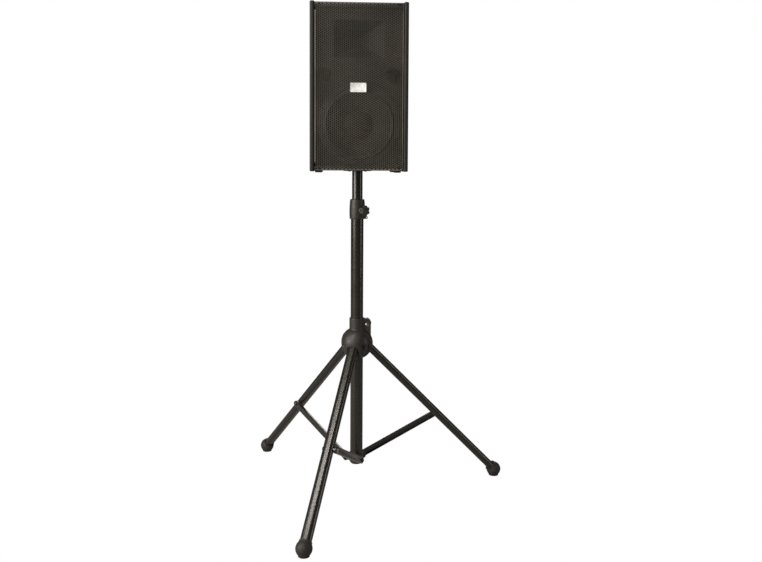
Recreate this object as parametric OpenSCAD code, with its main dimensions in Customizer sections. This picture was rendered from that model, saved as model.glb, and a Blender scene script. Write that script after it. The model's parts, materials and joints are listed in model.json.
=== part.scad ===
/* [Cabinet] */
// Outside width of the loudspeaker cabinet, over the side cheeks
cabinet_w = 308; // [300:1:330]
// Depth of the cabinet, front to back
cabinet_d = 300; // [290:1:340]
// Height between the outer faces of the top and bottom panels
cabinet_h = 520; // [515:1:560]
// Thickness of the plywood panels
panel_t = 15; // [12:0.5:16]
// Height of the side cheeks' edges above the top panel and below the bottom panel
cheek_proud = 3; // [2:0.5:3]
// Radius of the cheeks' rounded long edges
cheek_round = 6; // [3:0.5:7]
// Height of the rubber cabinet feet below the bottom panel
cabinet_foot_h = 7; // [5:0.5:9]

/* [Drivers] */
// Outer radius of the woofer's basket rim
woofer_rim_r = 129; // [124:0.5:131]
// Radius of the woofer's magnet
magnet_r = 60; // [50:1:60]
// Width of the horn's flange
horn_w = 190; // [170:1:200]
// Height of the horn's flange
horn_h = 150; // [130:1:150]
// Inside radius of the port tubes
port_r = 23; // [18:0.5:24]

/* [Mast] */
// Height of the cabinet's bottom panel above the floor
cabinet_z = 1077; // [1070:1:1150]
// Outside diameter of the telescopic pole that carries the cabinet
pole_d = 35; // [35:0.1:35.2]
// Outside diameter of the outer mast tube
mast_d = 42; // [42:0.5:44]
// Wall of the pole
pole_wall = 2; // [1.5:0.25:2.5]
// Wall of the mast tube
mast_wall = 2; // [1.75:0.05:2]
// Height of the mast tube's lower end above the floor
mast_z = 95; // [90:1:100]
// Height of the moulded collar's lower edge above the floor
collar_z = 915; // [905:1:925]
// Height of the moulded collar
collar_h = 67; // [66:1:75]

/* [Tripod] */
// Turn of the front leg about the mast, from straight ahead
leg_turn = -18.8; // [-30:0.1:0]
// Angle of a leg from the mast when the stand is open
leg_open = 44.6; // [42:0.1:46]
// Angle of a leg from the mast when the stand is folded
leg_folded = 4; // [3:0.1:6]
// Distance of the leg pivots from the mast's axis
pivot_r = 35; // [35:0.1:36]
// Height of the leg pivots above the floor
pivot_z = 493; // [485:1:500]
// Width of the flat-oval leg tube across its wide side
leg_w = 35; // [33:0.5:36]
// Thickness of the flat-oval leg tube
leg_t = 26; // [25:0.1:26.2]
// Distance along a leg from its pivot to the brace's rivet
rivet_at = 364; // [355:1:370]
// Height of the brace pivots above the floor
brace_z = 108; // [106:1:112]
// Distance of the brace pivots from the mast's axis
brace_r = 25; // [25:0.5:27]
// Height of a brace bar
brace_h = 20; // [18:0.5:22]
// Radius of a rubber foot's ball
foot_r = 24.5; // [24:0.5:26]

/* [Hidden] */
$fn = 96;
// Clearances: a running fit, a loose clearance and an overshoot for clean cuts
run = 0.05;
gap = 0.5;
e = 1;

// The mast
mast_r = mast_d / 2;
mast_bore = mast_r - mast_wall;
pole_r = pole_d / 2;
pole_bore = pole_r - pole_wall;
mast_top = collar_z + 20;
socket_depth = 78;
pole_top = cabinet_z + socket_depth;
cap_t = 3;
pole_foot = 197;
collar_top = collar_z + collar_h;
bush_top = collar_top - 4;
bush_r = mast_r - 0.5;
stud_r = 4;
stud_z = collar_z + 29;
lug_x = 31;
lug_z = collar_z + 5.5;
lug_end = 4.2;
lug_half = 8;
stud_turn = -45;
knob_x = 27;
knob_t = 14;
knob_r = 18;

// The hub
ball_r = 54;
ball_z = pivot_z + 6;
core_r = 50;
lobe_w = 60;
sleeve_r = mast_r + 4;
sleeve_top = ball_z + 86;
ear_x = 47;
ear_half = 11;
ear_z = ball_z + 16;
ear_top = sleeve_top - 3;
clamp_x = 33;
clamp_z = ball_z + 63;
slot_r = leg_t / 2 + 0.7;
slot_half = leg_w / 2 + 0.8;
eye_clear = leg_t / 2 + 1.6;

// The legs and feet
LEGS = [leg_turn, leg_turn + 120, leg_turn + 240];
FRONT = 0;
RIGHT = 1;
LEFT = 2;
leg_wall = 1.8;
eye_r = leg_t / 2 + 0.4;
eye_len = 25;
foot_z = foot_r - 2.5;
leg_len = (pivot_z - foot_z) / cos(leg_open);
foot_x = pivot_r + leg_len * sin(leg_open);
tube_end = leg_len - 13;
sole_r = 17;

// The braces: lower pivot, rivet and the slope between them, in a leg's own plane
pin_r = 4;
brace_in = leg_w / 2 + 2;
brace_w = 10;
brace_out = brace_in + brace_w;
sheet_t = 1.8;
rivet_x = pivot_r + rivet_at * sin(leg_open);
rivet_z = pivot_z - rivet_at * cos(leg_open);
brace_len = norm([rivet_x - brace_r, rivet_z - brace_z]);
brace_slope = atan2(rivet_z - brace_z, rivet_x - brace_r);
lug_r = 11;
lug_half_h = lug_r - 0.6;
mast_end = brace_z - lug_r - 1.5;

// The cabinet
half_w = cabinet_w / 2;
half_d = cabinet_d / 2;
in_w = half_w - panel_t;
cabinet_top = cabinet_z + cabinet_h;
floor_in = cabinet_z + panel_t;
roof_in = cabinet_top - panel_t;
front_y = -half_d;
back_y = half_d;
baffle_y = front_y + 22;
grille_y = front_y + 1;
grille_t = 1.5;
grille_side = 12;
grille_lip = 25;
woofer_z = cabinet_z + 145;
woofer_hole_r = woofer_rim_r - 13;
cone_r = woofer_rim_r - 29;
cone_back = baffle_y + 44;
coil_r = 25;
magnet_y = baffle_y + 72;
horn_z = cabinet_top - 110;
throat_y = baffle_y + 76;
port_x = in_w - port_r - 8;
port_z = cabinet_top - 222;
plate_z = cabinet_z + 125;
plate_w = 130;
plate_h = 100;
dish_depth = 30;
socket_gap = 27;
jack_r = 12.3;
handle_w = 150;
handle_l = 84;
cup_depth = 46;
bar_r = 8;
bar_z = cabinet_top - 8;
foot_pad_r = 12;
badge_w = 50;
badge_h = 29;

PAINT = "#2b2925";
PLASTIC = "#35322d";
RUBBER = "#3a3733";
STEEL = "#9a9894";
DARK = "#1d1c1a";
SPRAY = "#262522";

// ---------- shared shapes ----------

// A cylinder along +Y from y0 to y1
module along_y(r, y0, y1) {
  translate([0, y1, 0]) rotate([90, 0, 0]) cylinder(r = r, h = y1 - y0);
}

// A cylinder along +X from x0 to x1
module along_x(r, x0, x1) {
  translate([x0, 0, 0]) rotate([0, 90, 0]) cylinder(r = r, h = x1 - x0);
}

// A tube about the Z axis
module ring(r_out, r_in, z0, z1) {
  difference() {
    translate([0, 0, z0]) cylinder(r = r_out, h = z1 - z0);
    translate([0, 0, z0 - e]) cylinder(r = r_in, h = z1 - z0 + 2 * e);
  }
}

// A low domed head on the Y axis, from its seat at y towards +Y
module dome_y(r, y, h) {
  big = (r * r + h * h) / (2 * h);
  intersection() {
    along_y(r, y, y + h);
    translate([0, y + h - big, 0]) sphere(r = big);
  }
}

// A rectangle with round corners, centred
module round_rect(w, h, r) {
  square([w - 2 * r, h], center = true);
  square([w, h - 2 * r], center = true);
  for (x = [-1, 1], y = [-1, 1])
    translate([x * (w / 2 - r), y * (h / 2 - r)]) circle(r = r);
}

// A round-cornered plate in the XZ plane, from y0 to y1
module plate_y(w, h, r, y0, y1) {
  translate([0, y1, 0]) rotate([90, 0, 0]) linear_extrude(y1 - y0) round_rect(w, h, r);
}

// A lobed hand knob about the Z axis, from z = 0 to t
module lobed_knob(r, t, lobes) {
  lobe = r * 0.3;
  linear_extrude(t) {
    circle(r = r - lobe * 0.75);
    for (i = [0:lobes - 1])
      rotate([0, 0, i * 360 / lobes]) translate([r - lobe, 0]) circle(r = lobe);
  }
}

// Places a child on the axis of the collar's clamp stud, along +X
module along_stud() {
  translate([0, 0, stud_z]) rotate([0, 0, stud_turn]) children();
}

// ---------- mast and pole ----------

module mast_outer_tube() {
  color(PAINT) ring(mast_r, mast_bore, mast_z, mast_top);
}

module collar_profile() {
  bulge = 350;
  intersection() {
    translate([26 - bulge, collar_z + 25]) circle(r = bulge, $fn = 720);
    polygon([[0, collar_z], [22.5, collar_z], [40, collar_z + 12], [40, collar_top - 10],
             [21, collar_top], [0, collar_top]]);
  }
}

module mast_collar() {
  color(PLASTIC) difference() {
    union() {
      intersection() {
        rotate_extrude() collar_profile();
        translate([0, 0, collar_z]) cylinder(r = 40, h = collar_h);
      }
      along_stud() along_x(14.5, 12, knob_x - 0.4);
      translate([22, -lug_half, lug_z - lug_end]) cube([lug_x - 22, 2 * lug_half, 2 * lug_end]);
      translate([lug_x, 0, lug_z]) along_y(lug_end, -lug_half, lug_half);
    }
    translate([0, 0, collar_z - e]) cylinder(r = mast_r, h = mast_top - collar_z + e);
    translate([0, 0, mast_top - e]) cylinder(r = bush_r, h = bush_top - mast_top + e);
    translate([0, 0, bush_top - e]) cylinder(r = pole_r + 0.4, h = 20);
    along_stud() along_x(stud_r + run, 10, knob_x + e);
    translate([lug_x, 0, lug_z]) along_y(2, -lug_half - e, lug_half + e);
  }
}

module collar_bush() {
  color("ivory") difference() {
    ring(bush_r, pole_r + run, mast_top, bush_top);
    along_stud() along_x(stud_r + gap, 10, 30);
  }
}

module collar_clamp_knob() {
  color(PLASTIC) along_stud() {
    along_x(stud_r, pole_r + 0.3, knob_x + 4);
    translate([knob_x, 0, 0]) rotate([0, 90, 0]) lobed_knob(knob_r, knob_t, 6);
  }
}

module pole_guide_bush() {
  color("ivory") {
    translate([0, 0, pole_foot - 12]) cylinder(r = mast_bore - run, h = 11.7);
    translate([0, 0, pole_foot - 12]) cylinder(r = pole_bore - run, h = 40);
  }
}

module pole_tube() {
  color(PAINT) ring(pole_r, pole_bore, pole_foot, pole_top - cap_t);
}

module pole_top_cap() {
  color(DARK) {
    translate([0, 0, pole_top - cap_t]) cylinder(r = pole_r, h = cap_t);
    translate([0, 0, pole_top - 20]) cylinder(r = pole_bore, h = 18);
  }
}

module mast_end_cap() {
  color(PLASTIC) {
    translate([0, 0, mast_z - 6]) cylinder(r1 = mast_r - 3, r2 = mast_r, h = 3);
    translate([0, 0, mast_z - 3]) cylinder(r = mast_r, h = 3);
    translate([0, 0, mast_z - e]) cylinder(r = mast_bore, h = 19);
  }
}

// ---------- a leg's own plane: +X outwards, +Y to the brace's side ----------

module in_leg(i) {
  rotate([0, 0, LEGS[i] - 90]) children();
}

// Along an open leg: +Z from the pivot towards the foot
module down_leg() {
  translate([pivot_r, 0, pivot_z]) rotate([0, 180 - leg_open, 0]) children();
}

module oval(w, t) {
  square([t, w - t], center = true);
  for (s = [-1, 1]) translate([0, s * (w - t) / 2]) circle(r = t / 2);
}

// ---------- hub ----------

module hub_body() {
  intersection() {
    union() {
      translate([0, 0, ball_z]) sphere(r = core_r);
      intersection() {
        translate([0, 0, ball_z]) sphere(r = ball_r);
        translate([0, 0, ball_z - ball_r]) linear_extrude(2 * ball_r)
          for (i = [0:2])
            rotate([0, 0, LEGS[i] - 90]) translate([0, -lobe_w / 2]) square([ball_r + e, lobe_w]);
      }
    }
    translate([0, 0, ball_z - ball_r + 8]) cylinder(r = ball_r + e, h = 2 * ball_r);
  }
  translate([0, 0, ball_z]) cylinder(r = sleeve_r, h = sleeve_top - ball_z);
}

module clamp_ear() {
  corner = 13;
  translate([0, ear_half, 0]) rotate([90, 0, 0]) linear_extrude(2 * ear_half) {
    translate([mast_r, ear_z]) square([ear_x - mast_r, ear_top - corner - ear_z]);
    translate([mast_r, ear_z]) square([ear_x - corner - mast_r, ear_top - ear_z]);
    translate([ear_x - corner, ear_top - corner]) circle(r = corner);
  }
}

// The space a leg sweeps between open and folded, cut out of the hub
module leg_slot() {
  far = 90;
  translate([pivot_r, 0, pivot_z]) along_y(eye_clear, -slot_half, slot_half);
  down_leg() linear_extrude(far) oval(2 * slot_half, 2 * slot_r);
  translate([0, slot_half, 0]) rotate([90, 0, 0]) linear_extrude(2 * slot_half)
    polygon([[mast_r - 4, pivot_z - 2], [pivot_r, pivot_z - 2],
             [pivot_r + far * sin(leg_open), pivot_z - 2 - far * cos(leg_open)],
             [mast_r - 4, pivot_z - 2 - far * cos(leg_open)]]);
}

module leg_hub() {
  color(PLASTIC) difference() {
    union() {
      hub_body();
      clamp_ear();
    }
    translate([0, 0, ball_z - ball_r - e]) cylinder(r = mast_r + run, h = 2 * ball_r + 60);
    translate([0, -1.5, ear_z]) cube([ear_x + e, 3, ear_top - ear_z + 10]);
    translate([clamp_x, 0, clamp_z]) along_y(pin_r + run, -20, 20);
    for (i = [0:2])
      in_leg(i) {
        leg_slot();
        translate([pivot_r, 0, pivot_z]) along_y(pin_r + run, -40, 40);
        for (y = [-lobe_w / 2 - 20, lobe_w / 2 - 0.4])
          translate([pivot_r, 0, pivot_z]) along_y(7.5, y, y + 20.4);
      }
  }
}

module leg_pivot_pins() {
  half = lobe_w / 2;
  color(STEEL) for (i = [0:2])
    in_leg(i) translate([pivot_r, 0, pivot_z]) {
      along_y(pin_r, -half, half);
      dome_y(6, half, 2);
      mirror([0, 1, 0]) dome_y(6, half, 2);
    }
}

module hub_clamp_bolt() {
  color(STEEL) translate([clamp_x, 0, clamp_z]) {
    along_y(pin_r, -ear_half, ear_half + 20);
    mirror([0, 1, 0]) dome_y(6.5, ear_half, 3.5);
  }
}

module hub_clamp_knob() {
  color(PLASTIC) translate([clamp_x, ear_half + 0.4, clamp_z]) rotate([-90, 0, 0])
    difference() {
      union() {
        cylinder(r = 6.4, h = 12);
        translate([0, 0, 10]) lobed_knob(17, 14, 5);
      }
      translate([0, 0, -e]) cylinder(r = pin_r + run, h = 23);
    }
}

// ---------- legs, feet and braces ----------

module leg_tube(i) {
  color(PAINT) in_leg(i) down_leg() difference() {
    union() {
      linear_extrude(tube_end) oval(leg_w, leg_t);
      intersection() {
        translate([0, 0, -leg_t]) linear_extrude(leg_t + e) oval(leg_w, leg_t);
        along_y(eye_r, -leg_w, leg_w);
      }
      translate([0, 0, rivet_at]) mirror([0, 1, 0]) {
        along_y(6, leg_w / 2 - 3, leg_w / 2 + 0.5);
        dome_y(6, leg_w / 2 + 0.5, 2);
      }
    }
    translate([0, 0, eye_len]) linear_extrude(leg_len)
      oval(leg_w - 2 * leg_wall, leg_t - 2 * leg_wall);
    along_y(pin_r + run, -leg_w, leg_w);
  }
}

module leg_foot(i) {
  color(RUBBER) in_leg(i) difference() {
    union() {
      translate([foot_x, 0, foot_z]) sphere(r = foot_r);
      translate([foot_x, 0, 0]) cylinder(r = sole_r, h = 8);
      down_leg() translate([0, 0, leg_len - 20]) cylinder(r = leg_w / 2 + 2.2, h = 14);
    }
    translate([foot_x - 50, -50, -50]) cube([100, 100, 50]);
    down_leg() translate([0, 0, leg_len - 60]) linear_extrude(tube_end - leg_len + 60)
      oval(leg_w, leg_t);
  }
}

// Along a brace: +X from its lower pivot to its rivet
module along_brace() {
  translate([brace_r, 0, brace_z]) rotate([0, -brace_slope, 0]) children();
}

module brace(i) {
  end_r = brace_h / 2;
  color(PAINT) in_leg(i) along_brace() difference() {
    union() {
      along_y(end_r + 1, brace_in, brace_out);
      translate([0, brace_in, -end_r]) cube([brace_len, brace_w, brace_h]);
      translate([brace_len, 0, 0]) along_y(end_r, brace_in, brace_out);
    }
    translate([end_r + 4, brace_in - e, sheet_t - end_r])
      cube([brace_len - 2 * end_r - 8, brace_w - sheet_t + e, brace_h - 2 * sheet_t]);
    for (x = [0, brace_len])
      translate([x, 0, 0]) along_y(pin_r + run, brace_in - e, brace_out + e);
  }
}

module brace_rivet(i) {
  color(STEEL) in_leg(i) along_brace() translate([brace_len, 0, 0]) {
    along_y(7, leg_w / 2 + gap, brace_in);
    along_y(pin_r, leg_w / 2 + gap, brace_out + e);
    dome_y(7, brace_out, 4);
  }
}

module lower_bracket() {
  color(PLASTIC) difference() {
    union() {
      translate([0, 0, mast_end]) cylinder(r = mast_r + 2.4, h = brace_z + lug_r + 7 - mast_end);
      for (i = [0:2])
        in_leg(i) {
          translate([brace_r, 0, brace_z]) along_y(lug_r, 9, brace_in - gap);
          translate([5, 9, brace_z - lug_half_h]) cube([brace_r - 5, brace_in - gap - 9, 2 * lug_half_h]);
        }
    }
    translate([0, 0, mast_z - e]) cylinder(r = mast_r, h = 60);
    for (i = [0:2])
      in_leg(i) translate([brace_r, 0, brace_z]) along_y(pin_r, 9.5, 40);
  }
}

module bracket_bolts() {
  color(STEEL) for (i = [0:2])
    in_leg(i) translate([brace_r, 0, brace_z]) {
      along_y(pin_r, 9.5, brace_out + e);
      dome_y(8, brace_out + 0.4, 4.5);
    }
}

// ---------- cabinet ----------

module side_panel(s) {
  panel_h = cabinet_h + 2 * cheek_proud;
  color(SPRAY) translate([s * (half_w - panel_t / 2), 0, cabinet_z + cabinet_h / 2])
    linear_extrude(panel_h, center = true) round_rect(panel_t, cabinet_d, cheek_round);
}

module top_panel() {
  color(SPRAY) difference() {
    translate([-in_w, front_y + 3, roof_in]) cube([2 * in_w, cabinet_d - 3, panel_t]);
    translate([0, 0, roof_in - e]) linear_extrude(panel_t + 2 * e)
      round_rect(handle_w - 24, handle_l - 24, 10);
  }
}

module bottom_panel() {
  color(SPRAY) difference() {
    translate([-in_w, front_y + 3, cabinet_z]) cube([2 * in_w, cabinet_d - 3, panel_t]);
    translate([0, 0, cabinet_z - e]) cylinder(r = 22, h = panel_t + 2 * e);
  }
}

module rear_panel() {
  color(SPRAY) difference() {
    translate([-in_w, back_y - panel_t, floor_in]) cube([2 * in_w, panel_t, roof_in - floor_in]);
    translate([0, 0, plate_z]) plate_y(plate_w - 20, plate_h - 20, 6, back_y - panel_t - e, back_y + e);
  }
}

module front_baffle() {
  color(DARK) difference() {
    translate([-in_w, baffle_y, floor_in]) cube([2 * in_w, panel_t, roof_in - floor_in]);
    translate([0, 0, woofer_z]) along_y(woofer_hole_r, baffle_y - e, baffle_y + panel_t + e);
    translate([0, 0, horn_z])
      plate_y(horn_w - 24, horn_h - 24, 6, baffle_y - e, baffle_y + panel_t + e);
    for (s = [-1, 1])
      translate([s * port_x, 0, port_z]) along_y(port_r + 2.5, baffle_y - e, baffle_y + panel_t + e);
  }
}

module grille_panel() {
  half = in_w - 0.8;
  z0 = cabinet_z + 1;
  tall = cabinet_h - 2;
  color(PAINT) {
    translate([-half, grille_y, z0]) cube([2 * half, grille_t, tall]);
    for (s = [-1, 1])
      translate([s * (half - grille_t / 2) - grille_t / 2, grille_y, z0 + grille_lip])
        cube([grille_t, grille_side, tall - 2 * grille_lip]);
  }
}

// Front positions of the grille's fixing screws, at its top and bottom edges
module at_grille_screws() {
  for (x = [-1, 1], z = [cabinet_z + 7, cabinet_top - 7])
    translate([x * (in_w - 14), 0, z]) children();
}

module grille_screws() {
  color(DARK) at_grille_screws() along_y(3.5, grille_y - 0.8, grille_y);
}

module badge_plate() {
  color("gainsboro") translate([-3, 0, cabinet_z + 258])
    plate_y(badge_w, badge_h, 2, grille_y - 2.2, grille_y);
}

module cabinet_feet() {
  color(RUBBER) for (x = [-1, 1], y = [front_y + 90, back_y - 40])
    translate([x * (half_w - 27), y, cabinet_z - cabinet_foot_h])
      union() {
        cylinder(r1 = foot_pad_r - 1.5, r2 = foot_pad_r, h = 2);
        translate([0, 0, 2]) cylinder(r = foot_pad_r, h = cabinet_foot_h - 2);
      }
}

module pole_socket() {
  wall_r = 21;
  color(DARK) difference() {
    union() {
      translate([0, 0, cabinet_z - 2.5]) cylinder(r = 46, h = 2.5);
      translate([0, 0, cabinet_z - e]) cylinder(r = wall_r, h = socket_depth + 4);
    }
    translate([0, 0, cabinet_z - 5]) cylinder(r = pole_r + gap, h = socket_depth + 5);
    at_socket_screws() translate([0, 0, cabinet_z - 5]) cylinder(r = 2.2, h = 10);
  }
}

module at_socket_screws() {
  for (a = [45:90:315]) rotate([0, 0, a]) translate([37, 0, 0]) children();
}

module pole_socket_screws() {
  color(STEEL) at_socket_screws() {
    translate([0, 0, cabinet_z - 2.5]) cylinder(r = 2.1, h = 2.5);
    translate([0, 0, cabinet_z - 4.3]) cylinder(r1 = 3, r2 = 4.2, h = 1.8);
  }
}

// ---------- woofer ----------

// A shape turned about the woofer's axis; its 2D Y runs from front to back
module woofer_turned() {
  translate([0, 0, woofer_z]) rotate([-90, 0, 0]) rotate_extrude() children();
}

module woofer_basket() {
  rim = baffle_y - 4;
  back_r = 48;
  color(DARK) difference() {
    woofer_turned() {
      polygon([[woofer_hole_r - 4, rim], [woofer_rim_r, rim], [woofer_rim_r, baffle_y],
               [woofer_hole_r - 0.5, baffle_y], [woofer_hole_r - 0.5, baffle_y + 22],
               [back_r + 4, magnet_y - 6], [back_r + 4, magnet_y], [coil_r + 3, magnet_y],
               [coil_r + 3, magnet_y - 4], [back_r, magnet_y - 4],
               [woofer_hole_r - 4, baffle_y + 20]]);
    }
    for (i = [0:5])
      translate([0, 0, woofer_z]) rotate([0, i * 60 + 30, 0])
        translate([-14, baffle_y + 28, 40]) cube([28, 30, 70]);
    at_woofer_screws() along_y(2.4, rim - e, baffle_y + e);
  }
}

module at_woofer_screws() {
  for (i = [0:7])
    translate([0, 0, woofer_z]) rotate([0, i * 45 + 22.5, 0])
      translate([0, 0, woofer_rim_r - 6]) children();
}

module woofer_screws() {
  color(STEEL) at_woofer_screws() {
    along_y(2.3, baffle_y - 4, baffle_y);
    mirror([0, 1, 0]) dome_y(4.3, 4 - baffle_y, 2.2);
  }
}

module woofer_surround() {
  roll = 5.6;
  mid = cone_r + 6;
  color(RUBBER) woofer_turned() difference() {
    translate([mid, baffle_y - 0.5]) circle(r = roll, $fn = 48);
    translate([mid, baffle_y - 0.5]) circle(r = roll - 1.2, $fn = 48);
    translate([mid - 10, baffle_y - 0.5]) square([20, 10]);
  }
}

module woofer_cone() {
  rim = baffle_y + 1.5;
  cap_r = 40;
  cap_y = cone_back - 19;
  cap_h = 15;
  cap_big = (cap_r * cap_r + cap_h * cap_h) / (2 * cap_h);
  slope = (cone_back - rim) / (cone_r - coil_r);
  color(DARK) woofer_turned() {
    polygon([[coil_r - 1, cone_back], [cone_r, rim], [cone_r, rim + 1.5],
             [coil_r, cone_back + 1.5], [coil_r, magnet_y + 12], [coil_r - 1, magnet_y + 12]]);
    intersection() {
      difference() {
        translate([0, cap_y - cap_h + cap_big]) circle(r = cap_big, $fn = 180);
        translate([0, cap_y - cap_h + cap_big]) circle(r = cap_big - 1.5, $fn = 180);
      }
      polygon([[0, cap_y - cap_h - e], [cap_r + 6, cap_y - cap_h - e],
               [cap_r + 6, rim + (cone_r - cap_r - 6) * slope + 0.7],
               [coil_r, rim + (cone_r - coil_r) * slope + 0.7], [0, cap_y + e]]);
    }
  }
}

module woofer_magnet() {
  pole_gap = 1.5;
  color("dimgray") translate([0, 0, woofer_z]) difference() {
    along_y(magnet_r, magnet_y, magnet_y + 34);
    along_y(coil_r + pole_gap, magnet_y - e, magnet_y + 18);
  }
  color("dimgray") translate([0, 0, woofer_z])
    along_y(coil_r - 1 - pole_gap, magnet_y + 0.5, magnet_y + 18 + e);
}

// ---------- horn and compression driver ----------

module horn_flare() {
  throat_r = 12.5;
  wall = 3;
  color(DARK) difference() {
    union() {
      translate([0, 0, horn_z]) plate_y(horn_w, horn_h, 8, baffle_y - 4, baffle_y);
      horn_bell(wall, 0);
      translate([0, 0, horn_z]) along_y(30, throat_y - 8, throat_y);
    }
    horn_bell(0, e);
    translate([0, 0, horn_z]) along_y(throat_r, throat_y - 12, throat_y + e);
    at_horn_screws() along_y(2.4, baffle_y - 5, baffle_y + e);
  }
}

// The bell, swollen by its wall or cut over its ends
module horn_bell(wall, over) {
  mouth_w = horn_w - 34 + 2 * wall;
  mouth_h = horn_h - 34 + 2 * wall;
  throat = 25 + 2 * wall;
  hull() {
    translate([0, 0, horn_z]) plate_y(mouth_w, mouth_h, 5, baffle_y - 4 - over, baffle_y, $fn = 32);
    translate([0, 0, horn_z]) along_y(throat / 2, throat_y - 7, throat_y - 6, $fn = 32);
  }
}

module at_horn_screws() {
  for (x = [-1, 1], z = [-1, 1])
    translate([x * (horn_w / 2 - 8), 0, horn_z + z * (horn_h / 2 - 8)]) children();
}

module horn_screws() {
  color(STEEL) at_horn_screws() {
    along_y(2.3, baffle_y - 4, baffle_y);
    mirror([0, 1, 0]) dome_y(4.3, 4 - baffle_y, 2.2);
  }
}

module compression_driver() {
  color("dimgray") translate([0, 0, horn_z]) {
    along_y(38, throat_y, throat_y + 8);
    along_y(50, throat_y + 8, throat_y + 30);
    along_y(34, throat_y + 30, throat_y + 42);
  }
}

module port_tubes() {
  color(DARK) for (s = [-1, 1])
    translate([s * port_x, 0, port_z]) difference() {
      union() {
        along_y(port_r + 2.5, baffle_y, baffle_y + 110);
        along_y(port_r + 6, baffle_y - 3, baffle_y);
      }
      along_y(port_r, baffle_y - 5, baffle_y + 111);
    }
}

// ---------- electrical parts ----------

BOARD = [130, 80, 1.6];
board_at = [-65, 40, floor_in + 8];

module crossover_board() {
  color("darkgreen") {
    translate(board_at) cube(BOARD);
    for (x = [8, BOARD[0] - 8], y = [8, BOARD[1] - 8])
      translate([board_at[0] + x, board_at[1] + y, floor_in]) cylinder(r = 4, h = 8);
  }
}

module crossover_coils() {
  top = board_at[2] + BOARD[2];
  color("peru") for (x = [28, 78])
    translate([board_at[0] + x, board_at[1] + 26, 0]) ring(18, 8, top, top + 22);
}

module crossover_capacitors() {
  top = board_at[2] + BOARD[2];
  color("steelblue") for (x = [24, 62, 100])
    translate([board_at[0] + x - 14, board_at[1] + 62, top + 9]) along_x(9, 0, 28);
}

module connector_plate() {
  flange_y = back_y;
  color(DARK) translate([0, 0, plate_z]) difference() {
    union() {
      plate_y(plate_w, plate_h, 8, flange_y, flange_y + 2.5);
      plate_y(plate_w - 21, plate_h - 21, 6, flange_y - dish_depth, flange_y);
    }
    plate_y(plate_w - 27, plate_h - 27, 4, flange_y - dish_depth + 3, flange_y + 4);
    for (s = [-1, 1])
      translate([s * socket_gap, 0, 0]) along_y(14, flange_y - dish_depth - e, flange_y);
    at_plate_screws() along_y(2.2, flange_y - 5, flange_y + 4);
  }
}

module speaker_sockets() {
  dish = back_y - dish_depth + 3;
  color("#30302e") for (s = [-1, 1])
    translate([s * socket_gap, 0, plate_z]) difference() {
      union() {
        plate_y(36, 42, 5, dish, dish + 2.5);
        along_y(13.8, dish - 22, dish);
      }
      along_y(jack_r, dish - 18, dish + 4);
    }
}

module at_plate_screws() {
  for (x = [-1, 1], z = [-1, 1])
    translate([x * (plate_w / 2 - 5), 0, z * (plate_h / 2 - 5)]) children();
}

module connector_screws() {
  color(STEEL) translate([0, 0, plate_z]) at_plate_screws() {
    along_y(2.1, back_y, back_y + 2.5);
    dome_y(3.8, back_y + 2.5, 2);
  }
}

// ---------- top handle, wadding and wires ----------

module carry_handle() {
  color(DARK) {
    difference() {
      union() {
        translate([0, 0, cabinet_top]) linear_extrude(2.5) round_rect(handle_w, handle_l, 14);
        translate([0, 0, cabinet_top - cup_depth]) linear_extrude(cup_depth)
          round_rect(handle_w - 25, handle_l - 25, 10);
      }
      translate([0, 0, cabinet_top - cup_depth + 3]) linear_extrude(cup_depth)
        round_rect(handle_w - 31, handle_l - 31, 8);
      at_handle_screws() translate([0, 0, cabinet_top - e]) cylinder(r = 2.3, h = 5);
      at_handle_screws() translate([0, 0, cabinet_top + 1.5]) cylinder(r = 4.2, h = 5);
    }
    translate([0, 0, bar_z]) along_x(bar_r, 28 - handle_w / 2 - 13, handle_w / 2 - 15);
  }
}

module at_handle_screws() {
  for (x = [-1, 1], y = [-1, 1])
    translate([x * (handle_w / 2 - 8), y * (handle_l / 2 - 8), 0]) children();
}

module handle_screws() {
  color(STEEL) at_handle_screws() translate([0, 0, cabinet_top]) {
    cylinder(r = 2.2, h = 2.5);
    translate([0, 0, 1.6]) cylinder(r = 4, h = 1.3);
  }
}

module damping_wadding() {
  color("gray") translate([-in_w + 5, back_y - panel_t - 26, cabinet_top - 260])
    cube([2 * in_w - 10, 25, 180]);
}

// A wire through its points, with a ball at each bend
module wire(points) {
  wire_r = 1.8;
  for (i = [0:len(points) - 2]) {
    step = points[i + 1] - points[i];
    length = norm(step);
    translate(points[i]) {
      rotate([0, acos(step[2] / length), atan2(step[1], step[0])])
        cylinder(r = wire_r, h = length, $fn = 24);
      if (i > 0) sphere(r = wire_r + 0.3, $fn = 24);
    }
  }
}

module internal_wires() {
  board_top = board_at[2] + BOARD[2];
  jack_back = back_y - dish_depth - 19.5;
  color("firebrick") {
    wire([[socket_gap, jack_back, plate_z], [socket_gap, jack_back - 12, plate_z],
          [60, 100, board_top + 30], [60, 100, board_top]]);
    wire([[-60, 60, board_top], [-60, 60, board_top + 50], [-75, 20, woofer_z - 30],
          [-magnet_r - 12, magnet_y + 10, woofer_z]]);
    wire([[-60, 90, board_top], [-60, 90, board_top + 60], [-90, 60, woofer_z + 60],
          [-80, 10, horn_z - 60], [-22, throat_y + 54, horn_z], [-22, throat_y + 42, horn_z]]);
  }
}

// ---------- node selection ----------

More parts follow.
